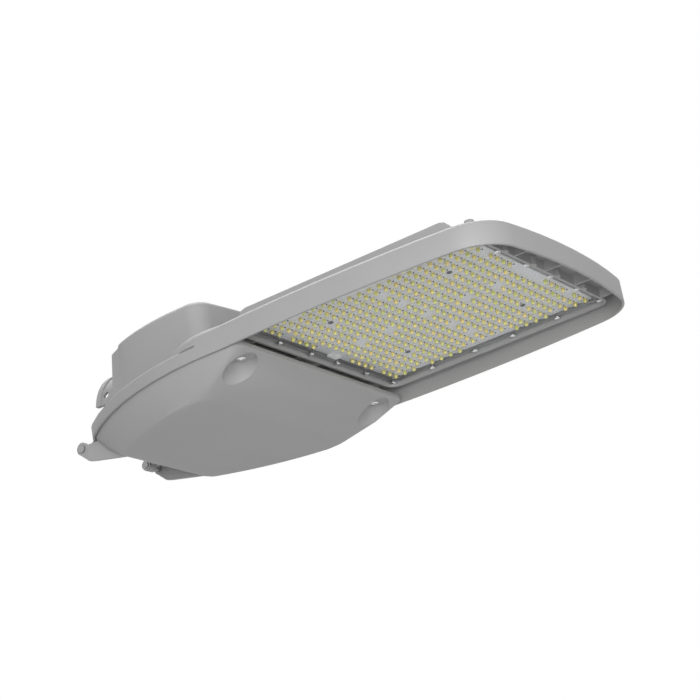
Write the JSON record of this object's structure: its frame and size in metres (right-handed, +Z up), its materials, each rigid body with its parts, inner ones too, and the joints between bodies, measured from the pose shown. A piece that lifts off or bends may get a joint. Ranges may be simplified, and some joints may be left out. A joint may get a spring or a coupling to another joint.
{
  "type": "led street light head",
  "caption": "Cast street light head with a flat LED array under a clear lens plate, finned top, driver dome, mast-arm clamp and a hinged door below.",
  "frame": {"origin": "middle of the mast-arm clamp, on the arm's axis", "axes": "+X along the arm's axis to the light head's tip, +Z up, so the LEDs face -Z"},
  "size_m": [0.656, 0.351, 0.133],
  "materials": {
    "casting": "satin light-grey powder coat on die-cast aluminium",
    "clamp_casting": "bare cast aluminium",
    "steel": "bright stainless",
    "seal": "matt black silicone",
    "board_white": "white solder mask",
    "phosphor": "yellow phosphor",
    "connector_white": "white moulded plastic",
    "clear_lens": "clear moulded acrylic",
    "driver_case": "plain metal case",
    "surge_case": "black moulded plastic"
  },
  "bodies": {
    "housing": {"housing": "casting", "lens_gasket": "seal", "hinge_pins": "steel", "pin_clips": "steel", "board_screws": "steel", "lens_screws": "steel", "clamp_bolts": "steel", "clamp_washers": "steel", "driver_screws": "steel", "terminal_screws": "steel", "surge_screws": "steel", "earth_screw": "steel", "arm_clamp": "clamp_casting", "led_board": "board_white", "led_packages": "phosphor", "led_connector": "connector_white", "lens_plate": "clear_lens", "driver": "driver_case", "terminal_block": "connector_white", "surge_protector": "surge_case"},
    "door": {"door": "casting", "door_gasket": "seal", "door_screws": "steel", "screw_retainers": "steel"}
  },
  "joints": [
    {"name": "door_hinge", "type": "hinge", "parent": "housing", "child": "door", "pos_m": [-0.087, 0, -0.0395], "axis": [0, 1, 0], "range_deg": [0, 90]}
  ]
}
